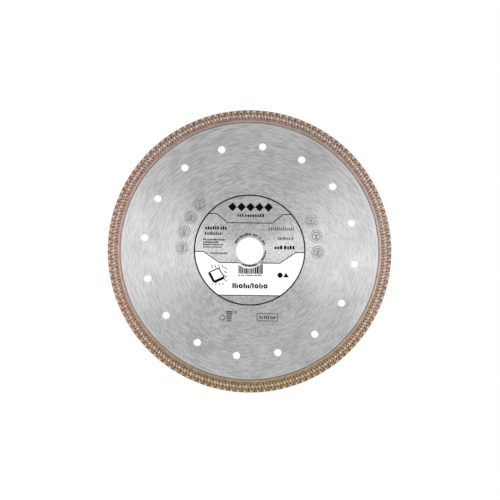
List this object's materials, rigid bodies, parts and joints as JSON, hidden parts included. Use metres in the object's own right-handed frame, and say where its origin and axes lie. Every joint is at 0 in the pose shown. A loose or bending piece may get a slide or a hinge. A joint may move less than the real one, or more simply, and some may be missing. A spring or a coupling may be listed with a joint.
{
  "type": "diamond blade",
  "caption": "Flat steel disc with a central arbor bore, ring of cooling holes, printed label and a sintered mesh-grooved diamond rim, for cutting tiles.",
  "frame": {"origin": "centre of the arbor bore, at mid thickness of the steel core", "axes": "+Y along the bore axis away from the printed face, which looks towards -Y; +Z is the top of the print; +X is to the right seen from the printed face"},
  "size_m": [0.23, 0.0018, 0.23],
  "materials": {
    "brushed_core_steel": "ground in short concentric arcs, semi-gloss",
    "base_bond": "sintered bronze, smooth pressed, satin",
    "diamond_bond": "sintered bronze, rough pressed with fine grain",
    "diamond_crystal": "blocky synthetic crystals, clear yellow",
    "white_ink": "screen-printed ink, satin",
    "black_ink": "screen-printed ink, satin"
  },
  "bodies": {
    "root": {"steel_core": "brushed_core_steel", "bond_base_ring": "base_bond", "diamond_rim": "diamond_bond", "diamond_grit": "diamond_crystal", "label_white_ink": "white_ink", "label_black_ink": "black_ink"}
  },
  "joints": []
}
